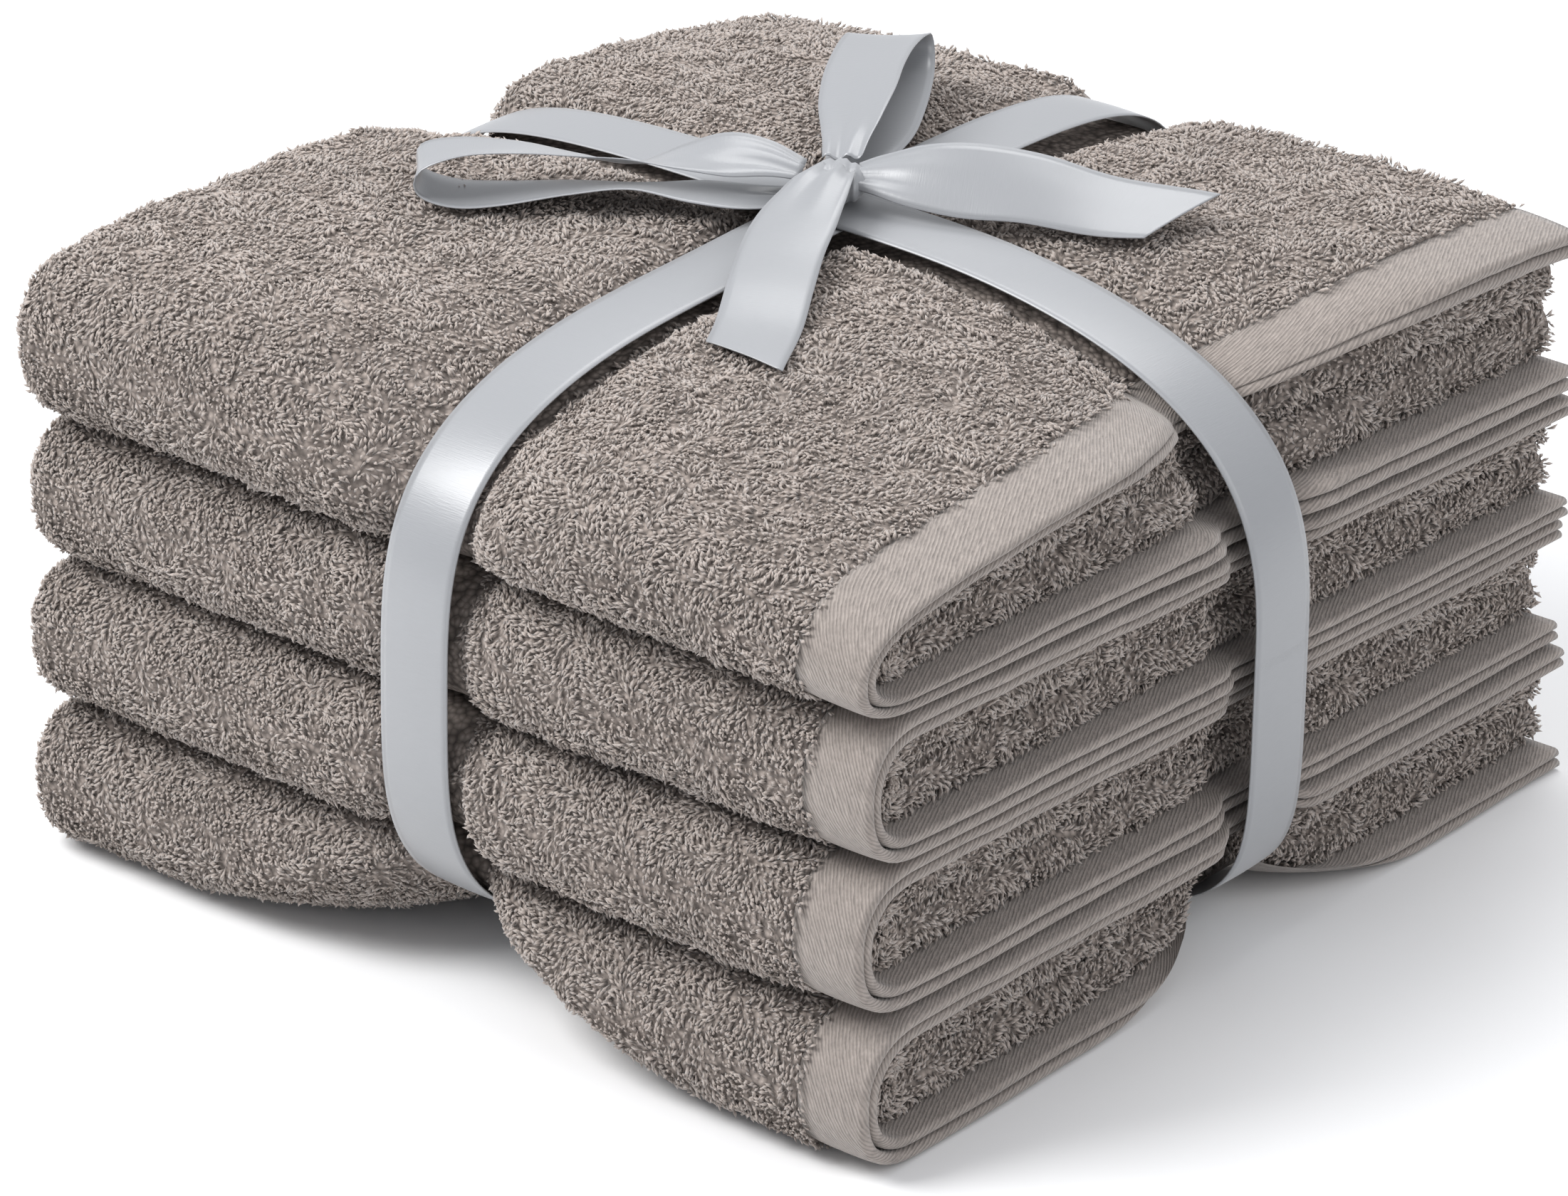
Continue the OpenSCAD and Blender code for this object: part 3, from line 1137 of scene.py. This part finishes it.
    def patches(self) -> list[Patch]:
        """Lists the patches of this towel that show."""
        total = STACK.ring_run(STACK.open_y)
        flat = STACK.open_y - STACK.nose_y
        clear = STACK.ribbon_w / 2 - 1.8
        knot_x, knot_y = STACK.knot_x, STACK.knot_y
        crossing = STACK.open_y - knot_y
        low_edge = flat + STACK.nose_run + (60 if self.k == 0 else 34)
        inmost = 0.42 * math.pi * self.turn_r * 2

        def off_cross(v: Array) -> Array:
            """Says which ring lengths the ribbon along X leaves bare."""
            y, _ = STACK.ring(self.k, v, 0 * v, STACK.open_y)
            return np.abs(y - knot_y) > clear

        def off_ribbons(u: Array, v: Array) -> Array:
            """Says which places both ribbons leave bare."""
            return (np.abs(u - knot_x) > clear) & off_cross(v)

        def off_turn(u: Array, v: Array) -> Array:
            """Says which places of the turned end show."""
            return off_cross(v) | (u > inmost)

        def everywhere(u: Array, v: Array) -> Array:
            """Says that every place shows."""
            return np.ones(u.shape, bool)

        left, right = (self.turn_x, knot_x), (knot_x, self.sewn_x + self.over_seam)
        far, near = (0, crossing), (crossing, low_edge)
        if self.k == 3:
            faces = [(1, "far_left", left, far), (2, "near_left", left, near),
                     (3, "far_right", right, far), (4, "near_right", right, near)]
        else:
            faces = [(2, "fold", (left[0], right[1]), (flat - 26, low_edge))]
        seed = 100 * self.k
        found = [
            Patch(f"{self.name}_pile_{label}", self.on_face, path, ring, off_ribbons, side=-1.0,
                  seed=seed + draw)
            for draw, label, path, ring in faces
        ]
        found += [
            Patch(f"{self.name}_pile_turned_end", self.on_turn, (0, math.pi * self.turn_r), (0, total),
                  off_turn, seed=seed + 5),
            Patch(f"{self.name}_pile_roll", self.on_roll, (0, math.pi * self.roll_r), (0, total),
                  everywhere, length=4.0, outward=0.6, seed=seed + 6),
        ]
        return found

    def ply_ends(self) -> Patch:
        """The strands along the cut edges of the plies, beside the woven edges."""
        depths = np.array(self.ply_depths * 2)
        sign = np.array([1.0] * 4 + [-1.0] * 4)
        lanes = 2 * len(depths)

        def place(u: Array, v: Array) -> Array:
            """Tied place of (x, length over the lanes), two lanes to a ply."""
            lane = np.clip((v / self.lane).astype(int), 0, lanes - 1)
            ply, half = lane // 2, lane % 2
            d = depths[ply] + np.where(half == 0, -1.0, 1.0) * (1.1 + 0.22 * (v % self.lane))
            y = STACK.open_y - 0.8 + 0 * u
            return STACK.towel_point(self.k, u, y, sign[ply], d)

        def keep(u: Array, v: Array) -> Array:
            """Says which places the ribbon along Y leaves bare."""
            return np.abs(u - STACK.knot_x) > STACK.ribbon_w / 2 - 1

        return Patch(f"{self.name}_pile_edges", place, self.edge_span, (0, lanes * self.lane), keep,
                     length=3.0, outward=0.8, seed=100 * self.k + 7)

    def edge_pile(self) -> bpy.types.Object:
        """Sows the ply ends, whose strands point out of the open side."""
        patch = self.ply_ends()
        maker = self.pile
        rng = np.random.default_rng(patch.seed)
        step = maker.spacing
        a = np.arange(patch.path[0], patch.path[1], step)
        b = np.arange(patch.ring[0], patch.ring[1], self.lane / 2)
        u, v = (g.ravel() for g in np.meshgrid(a, b, indexing="ij"))
        u = u + rng.uniform(-0.5, 0.5, u.shape) * step
        v = v + rng.uniform(0.1, 1.9, v.shape)
        mine = patch.keep(u, v)
        u, v = u[mine], v[mine]
        base = patch.place(u, v)
        out = np.zeros_like(base)
        out[:, 1] = 1.0
        along = np.zeros_like(base)
        along[:, 0] = 1.0
        return maker.stand(patch, rng, (u, v, base), out, along)

    def hem(self, depth: float, back: float, label: str) -> bpy.types.Object:
        """Makes one hem band, folded over at its outer edge.

        Args:
            depth: Depth of its outer face.
            back: How far its edge is set back.
            label: Which hem it is.

        Returns:
            The band.
        """
        edge = self.hem_x - back
        r = self.hem_t / 2
        width = edge - r - self.sewn_x
        xs = self.sewn_x + width * np.linspace(0, 1, 10)
        bulge = 0.35 * np.sin(np.linspace(0, np.pi, 10)) ** 0.5
        arc = np.radians(np.linspace(80, -80, 7))
        upper = np.column_stack([xs, depth - bulge])
        nose = np.column_stack([edge - r + r * np.cos(arc), depth + r - r * np.sin(arc)])
        lower = np.column_stack([xs[::-1], np.full(len(xs), depth + self.hem_t)])
        section = np.vstack([upper, nose, lower, [[self.sewn_x, depth + r]]])
        across = run_along(section)
        open_y = STACK.half_y - self.hem_short
        total = STACK.ring_run(open_y)
        rows = np.linspace(0, total, 190)
        s, x = np.meshgrid(rows, section[:, 0], indexing="ij")
        d = np.broadcast_to(section[:, 1], x.shape)
        ripple = 0.3 * self.bumps.at(s, x * 0.4, 17) + 0.18 * self.bumps.at(s + 90, x * 0.3, 6)
        y, up = STACK.ring(self.k, s, d, open_y)
        sway = 0.5 * self.bumps.at(s, 0 * s + depth * 40, 34)
        grid = STACK.towel_point(self.k, x + sway, y, up, d - ripple)
        return swept(f"{self.name}_{label}_hem_band", grid, rows, across)

    def woven_edges(self) -> bpy.types.Object:
        """Makes the eight woven side edges as one group of rounded strips."""
        thick, start, reach = 2.0, 0.3, STACK.selvage_w - 0.4
        turn = np.radians(np.linspace(0, 360, 12, endpoint=False))
        stations = np.linspace(*self.edge_span, 84)
        out = start + reach * (0.5 + 0.5 * np.cos(turn))
        strip = section_faces(len(stations), len(turn))
        x, o = np.meshgrid(stations, out, indexing="ij")
        points, faces = [], []
        for up in (1.0, -1.0):
            for depth in self.ply_depths:
                seat = np.full(len(stations), depth * 31 + up * 7)
                wave = 0.5 * self.bumps.at(stations, seat, 22)[:, None]
                d = depth + 0.5 * thick * np.sin(turn)[None, :] * np.ones_like(x) + 0.5 * wave
                y = STACK.open_y + o + wave
                grid = STACK.towel_point(self.k, x, y, up * np.ones_like(x), d)
                faces.append(strip + len(points) * x.size)
                points.append(grid.reshape(-1, 3))
        piece = mesh_piece(f"{self.name}_woven_edges", np.vstack(points), np.vstack(faces))
        add_uv(piece, np.tile(x.ravel(), len(points)), np.tile(o.ravel(), len(points)))
        close_mesh(piece)
        return piece

    def build(self, finishes: Wardrobe, below: str) -> None:
        """Makes, dresses and attaches every piece of the towel, and hides the CAD parts that it replaces.

        Args:
            finishes: The materials.
            below: What the towel rests on; not used.
        """
        cloth = self.sheet()
        outer = self.hem(0.8, 0, "outer")
        inner = self.hem(self.hem_t + 1.5, 0.6, "inner")
        edges = self.woven_edges()
        piles = [self.pile.sow(p) for p in self.patches()] + [self.edge_pile()]
        # The cloth under the pile has the darkened ground colour: painted shade in the gaps between the
        # strands.
        dress(cloth, finishes.ground)
        for piece in piles:
            dress(piece, finishes.terry)
        for piece in (outer, inner, edges):
            dress(piece, finishes.hem)
        for piece in (cloth, outer, inner, edges, *piles):
            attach(piece, "bundle")
            LOG.info("%s: %d faces", piece.name, len(piece.data.polygons))
        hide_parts(f"{self.name}_terry")
        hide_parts(f"{self.name}_outer_hem")
        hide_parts(f"{self.name}_inner_hem")
        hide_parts(f"{self.name}_side_edges")


def resample(line: Array, step: float) -> Array:
    """Spaces the points of a line by at most step, keeping its own."""
    out = [line[:1]]
    for a, b in zip(line[:-1], line[1:]):
        count = max(1, int(np.ceil(np.linalg.norm(b - a) / step)))
        t = np.arange(1, count + 1)[:, None] / count
        out.append(a + (b - a) * t)
    return np.vstack(out)


# ---------------------------------------------------------------------------- ribbon


@dataclass
class RibbonTurn:
    """One turn of ribbon right round the stack.

    Attributes:
        label: The CAD node it replaces.
        along_x: Whether it runs along X instead of Y.
        side: Its reach at the sides.
        extra: How far outside the cloth it runs.
        thick: Its thickness.
        half: Half of its width.
        count: How many rows it has round the stack.
    """

    label: str
    along_x: bool
    side: float
    extra: float
    thick: float = 0.5
    half: float = RIBBON_HALF
    count: int = 360

    def build(self, finishes: Wardrobe) -> None:
        """Args:
            finishes: The materials.
        """
        a = np.linspace(0, 2 * np.pi, self.count, endpoint=False)
        c, s = np.cos(a), np.sin(a)
        over = np.linspace(-1, 1, 11)
        section_o = np.concatenate([over, over[::-1]]) * self.half
        crown = 0.45 * (1 - over**2)
        section_r = np.concatenate([crown + self.thick, crown[::-1]])
        sway = 0.6 * np.sin(3 * a + 1) + 0.4 * np.sin(7 * a)
        square = STACK.square_x if self.along_x else STACK.square_y
        radius = STACK.wrap(c, s, self.side, self.extra, square)
        r = radius[:, None] + section_r[None, :]
        o = section_o[None, :] + sway[:, None]
        flat, high = r * c[:, None], STACK.mid_z + r * s[:, None]
        if self.along_x:
            grid = np.stack([flat, STACK.knot_y + o, high], -1)
        else:
            grid = np.stack([STACK.knot_x + o, flat, high], -1)
        middle = np.column_stack([radius * c, radius * s])
        run = run_along(middle)
        piece = swept(f"{self.label}_satin", grid, run, section_o, closed_way=True)
        dress(piece, finishes.satin)
        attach(piece, "bundle")
        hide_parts(self.label)


@dataclass
class BowStrip:
    """A free length of ribbon from the knot: a tail or a loop.

    Attributes:
        label: The CAD node it replaces.
        body: The body it rides on.
        heading: Direction it leaves the knot in, in degrees.
        stations: Rows of (distance out, sideways, height over the knot's foot, width, roll in degrees).
        slant: Half of the cut's slant at its end.
        thick: Its thickness.
        cup: How far its edges droop.
        count: How many rows it has along its length.
    """

    label: str
    body: str
    heading: float
    stations: Sequence[Sequence[float]]
    slant: float = 0.0
    thick: float = 0.4
    cup: float = 0.6
    count: int = 120

    def axes(self) -> tuple[Array, Array]:
        """Directions out from the knot and sideways."""
        h = math.radians(self.heading)
        return np.array([math.cos(h), math.sin(h), 0]), np.array([-math.sin(h), math.cos(h), 0])

    def line(self) -> tuple[Array, Array, Array]:
        """Works out the middle line, the widths and the rolls.

        Returns:
            Places in millimetres, widths and rolls in radians.
        """
        st = smooth_curve(self.stations, self.count)
        u, v = self.axes()
        knot = np.array([STACK.knot_x, STACK.knot_y, 0.0])
        place = knot + st[:, :1] * u + st[:, 1:2] * v + st[:, 2:3] * np.array([0, 0, 1.0])
        return place, st[:, 3], np.radians(st[:, 4])

    def build(self, finishes: Wardrobe) -> None:
        """Args:
            finishes: The materials.
        """
        place, width, roll = self.line()
        _, v = self.axes()
        ahead = unit(np.gradient(place, axis=0))
        side = unit(v - ahead * (ahead @ v)[:, None])
        up = np.cross(ahead, side)
        over = np.linspace(-1, 1, 11)
        turned = side * np.cos(roll)[:, None] + up * np.sin(roll)[:, None]
        face = np.cross(ahead, turned)
        wide = width[:, None] / 2 * over[None, :]
        gathered = np.clip(1 - width / (width.max() + 1e-6), 0, 1)
        pleat = gathered[:, None] * 2.2 * np.sin(over * 6.5)[None, :] - self.cup * (over**2)[None, :]
        flat = place[:, None, :] + turned[:, None, :] * wide[..., None]
        if self.slant:
            reach = smooth_step(np.linspace(-2.2, 1, self.count))[:, None] * self.slant * over[None, :]
            flat = flat + ahead[:, None, :] * reach[..., None]
        top = flat + face[:, None, :] * (pleat + self.thick / 2)[..., None]
        low = flat + face[:, None, :] * (pleat - self.thick / 2)[..., None]
        grid = np.concatenate([top, low[:, ::-1]], axis=1)
        run = run_along(place)
        section = np.concatenate([over, over[::-1]]) * RIBBON_HALF
        piece = swept(f"{self.label}_satin", grid, run, section)
        dress(piece, finishes.satin)
        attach(piece, self.body)
        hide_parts(self.label)
        LOG.info("%s: %.0f mm of ribbon", piece.name, run[-1])


@dataclass
class Bow:
    """The knot, two loops and two tails."""

    foot: float = 205.0

    def knot(self, finishes: Wardrobe) -> None:
        """Makes the knot as a wrapped, pleated band of ribbon.

        Args:
            finishes: The materials.
        """
        bm = bmesh.new()
        bmesh.ops.create_uvsphere(bm, u_segments=64, v_segments=40, radius=1.0)
        heading = math.radians(-52)
        along = Vector((math.cos(heading), math.sin(heading), 0))
        across = Vector((-math.sin(heading), math.cos(heading), 0))
        middle = Vector((STACK.knot_x, STACK.knot_y, self.foot + 7.0))
        for vert in bm.verts:
            a, b, h = vert.co.x, vert.co.y, vert.co.z
            pleat = 1 + 0.055 * math.sin(11 * b + 1.2 * a) + 0.03 * math.sin(23 * b + 0.7)
            waist = 1 - 0.12 * math.cos(2.2 * b)
            place = along * (11.5 * a * pleat * waist) + across * (9.5 * b)
            vert.co = middle + place + Vector((0, 0, 6.6 * h * pleat))
        bmesh.ops.recalc_face_normals(bm, faces=bm.faces)
        bmesh.ops.transform(bm, matrix=Matrix.Scale(MM, 4), verts=bm.verts)
        mesh = bpy.data.meshes.new("bow_knot_satin")
        bm.to_mesh(mesh)
        bm.free()
        mesh.polygons.foreach_set("use_smooth", np.full(len(mesh.polygons), True))
        piece = put_in_scene("bow_knot_satin", mesh)
        add_uv(piece, *knot_lengths(piece))
        dress(piece, finishes.satin)
        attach(piece, "bundle")
        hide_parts("bow_knot")

    def build(self, finishes: Wardrobe) -> None:
        """Makes every piece of the bow.

        Args:
            finishes: The materials.
        """
        self.knot(finishes)
        foot = self.foot
        front = [(2, 0, foot + 13, 13, 0), (10, -1, foot + 13.5, 18, 4), (20, -3, foot + 11, 23, 6),
                 (34, -5, foot + 7.5, 27, 4), (52, -5, foot + 5, 27, 0), (74, -3, foot + 3, 27, -3),
                 (96, -1, self.rest(-64, 96) + 3.2, 27, -3), (119, 0, self.rest(-64, 119) + 3.2, 27, 0)]
        right = [(6, 0, foot + 10, 13, 14), (14, 0, foot + 11, 17, 26), (26, -1, foot + 12, 23, 36),
                 (42, -1, foot + 12, 27, 38), (62, 0, foot + 11, 27, 32),
                 (86, 1, self.rest(27, 86) + 9.5, 27, 22), (110, 2, self.rest(27, 110) + 8.5, 27, 14)]
        left = [(10, 2, foot + 3.5, 13, 0), (20, 3, foot + 3.5, 17, 0), (32, 4, foot + 4.5, 23, 2),
                (46, 4, foot + 6, 27, 8), (64, 2, foot + 7, 27, 18), (84, 1, foot + 6, 27, 13),
                (106, 1, foot + 4, 27, 6), (120, 1, foot + 4, 27, 3), (130, 0, foot + 7, 27, 2),
                (132, 0, foot + 12, 27, 0), (128, 0, foot + 16, 27, -4), (116, -1, foot + 18, 27, -10),
                (98, -2, foot + 17, 27, -15), (80, -3, foot + 14, 27, -21), (64, -3, foot + 12, 26, -24),
                (48, -3, foot + 13.5, 25, -4), (34, -3, foot + 14.5, 23, 14), (22, -2, foot + 13.5, 18, 16),
                (11, 0, foot + 10.5, 13, 8)]
        back = [(10, 0, foot + 3.5, 13, 0), (20, -1, foot + 4, 17, 0), (34, -3, foot + 4.5, 23, 0),
                (52, -4, foot + 4, 27, 0), (76, -4, foot + 3, 27, 0), (98, -3, foot + 2.5, 27, 0),
                (110, -2, foot + 3, 27, 0), (116, -1, foot + 6.5, 27, 0), (115, 0, foot + 11, 27, 2),
                (106, 1, foot + 13.5, 27, 4), (90, 2, foot + 15, 27, 8), (70, 2, foot + 16, 27, 12),
                (50, 1, foot + 15.5, 26, 16), (32, 0, foot + 14, 21, 18), (20, 0, foot + 12.5, 16, 12),
                (11, 0, foot + 10.5, 13, 6)]
        left, back = self.clear(220, left, 8), self.clear(121, back, 7)
        BowStrip("bow_tail_front", "tail_front", -64, front, slant=8).build(finishes)
        BowStrip("bow_tail_right", "tail_right", 27, right, slant=10).build(finishes)
        BowStrip("bow_loop_left", "loop_left", 220, left).build(finishes)
        BowStrip("bow_loop_back", "loop_back", 121, back).build(finishes)

    def clear(self, heading: float, rows: list[Sequence[float]], count: int) -> list[Sequence[float]]:
        """Raises the first stations of a strip so that they clear the terry.

        Args:
            heading: Direction it leaves the knot in, in degrees.
            rows: The strip's stations.
            count: How many of them lie near the terry.

        Returns:
            All the stations.
        """
        low = [(r, o, max(h, self.rest(heading, r) + 3.0), w, roll)
               for r, o, h, w, roll in rows[:count]]
        return low + list(rows[count:])

    @staticmethod
    def rest(heading: float, r: float) -> float:
        """Highest terry under the ribbon's width at a distance out along a heading."""
        h = math.radians(heading)
        return max(
            STACK.top_z(STACK.knot_x + r * math.cos(h) - o * math.sin(h),
                        STACK.knot_y + r * math.sin(h) + o * math.cos(h))
            for o in (-13, 0, 13)
        )


def knot_lengths(piece: bpy.types.Object) -> tuple[Array, Array]:
    """Cloth lengths over the knot, along and across the band, in millimetres."""
    co = np.zeros(len(piece.data.vertices) * 3, np.float32)
    piece.data.vertices.foreach_get("co", co)
    co = co.reshape(-1, 3) / MM
    return co[:, 0] - co[:, 2], (co[:, 1] - STACK.knot_y) * 0.9


# ---------------------------------------------------------------------------- studio


def looking_from(azimuth: float, elevation: float) -> Vector:
    """Direction towards a watcher, with azimuth 0 at -Y and both angles in degrees."""
    a, e = math.radians(azimuth), math.radians(elevation)
    return Vector((math.sin(a) * math.cos(e), -math.cos(a) * math.cos(e), math.sin(e)))


@dataclass
class Studio:
    """Camera, floor and lights."""

    azimuth: float = 40.0
    elevation: float = 25.8
    distance: float = 2.5
    lens: float = 179.0
    sensor: float = 36.0
    aim_across: float = -0.0067
    aim_height: float = 0.0737

    def camera(self) -> None:
        """Sets the camera at its place and angle."""
        data = bpy.data.cameras.new("studio_camera")
        data.lens, data.sensor_width = self.lens, self.sensor
        data.clip_start, data.clip_end = 0.05, 50
        camera = put_in_scene("studio_camera", data)
        a = math.radians(self.azimuth)
        back = looking_from(self.azimuth, self.elevation)
        across = Vector((math.cos(a), math.sin(a), 0))
        target = across * self.aim_across + Vector((0, 0, self.aim_height))
        camera.location = target + back * self.distance
        camera.rotation_mode = "QUATERNION"
        camera.rotation_quaternion = (-back).to_track_quat("-Z", "Y")
        bpy.context.scene.camera = camera

    def floor(self, finishes: Wardrobe) -> None:
        """Lays the floor.

        Args:
            finishes: The materials.
        """
        bm = bmesh.new()
        bmesh.ops.create_grid(bm, x_segments=1, y_segments=1, size=6)
        bmesh.ops.translate(bm, verts=bm.verts, vec=(0, 0, -0.0005))
        mesh = bpy.data.meshes.new("floor")
        bm.to_mesh(mesh)
        bm.free()
        mesh.materials.append(finishes.floor)
        put_in_scene("floor", mesh)

    @staticmethod
    def lamp(name: str, azimuth: float, elevation: float, far: float, size: float, watts: float) -> None:
        """Hangs one soft lamp that looks at the bundle.

        Args:
            name: The lamp's name.
            azimuth: Direction it stands in, as the camera's.
            elevation: Angle above the floor.
            far: Distance in metres.
            size: Side of its square in metres.
            watts: Its power.
        """
        data = bpy.data.lights.new(name, "AREA")
        data.shape, data.size, data.energy = "SQUARE", size, watts
        lamp = put_in_scene(name, data)
        back = looking_from(azimuth, elevation)
        lamp.location = back * far + Vector((0, 0, 0.1))
        lamp.rotation_mode = "QUATERNION"
        lamp.rotation_quaternion = (-back).to_track_quat("-Z", "Y")

    def lights(self) -> None:
        """Hangs the lamps and the pale surroundings."""
        self.lamp("key", -35, 48, 1.8, 0.9, 34)
        self.lamp("fill", 95, 30, 2.2, 1.6, 14)
        self.lamp("top", 200, 62, 1.9, 1.2, 16)
        world = bpy.data.worlds.new("pale_surroundings")
        world.use_nodes = True
        sky = world.node_tree.nodes["Background"]
        sky.inputs["Color"].default_value = (0.93, 0.95, 1.0, 1)
        sky.inputs["Strength"].default_value = 0.62
        bpy.context.scene.world = world
        bpy.context.scene.view_settings.view_transform = "Standard"


def main() -> None:
    """Builds the camera, the towels, the ribbon, the bow and the studio in order."""
    logging.basicConfig(level=logging.INFO, format="%(name)s: %(message)s")
    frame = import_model()
    LOG.info("frame with %d nodes", len(frame["nodes"]))
    finishes = Wardrobe()
    studio = Studio()
    studio.camera()
    below = "floor"
    for k in range(4):
        towel = FoldedTowel(k)
        towel.build(finishes, below)
        below = f"{towel.name}_cloth"
    RibbonTurn("ribbon_along_y", False, STACK.wrap_y, 0.6).build(finishes)
    RibbonTurn("ribbon_along_x", True, STACK.wrap_x, 1.8).build(finishes)
    Bow().build(finishes)
    studio.floor(finishes)
    studio.lights()


if __name__ == "__main__":
    main()
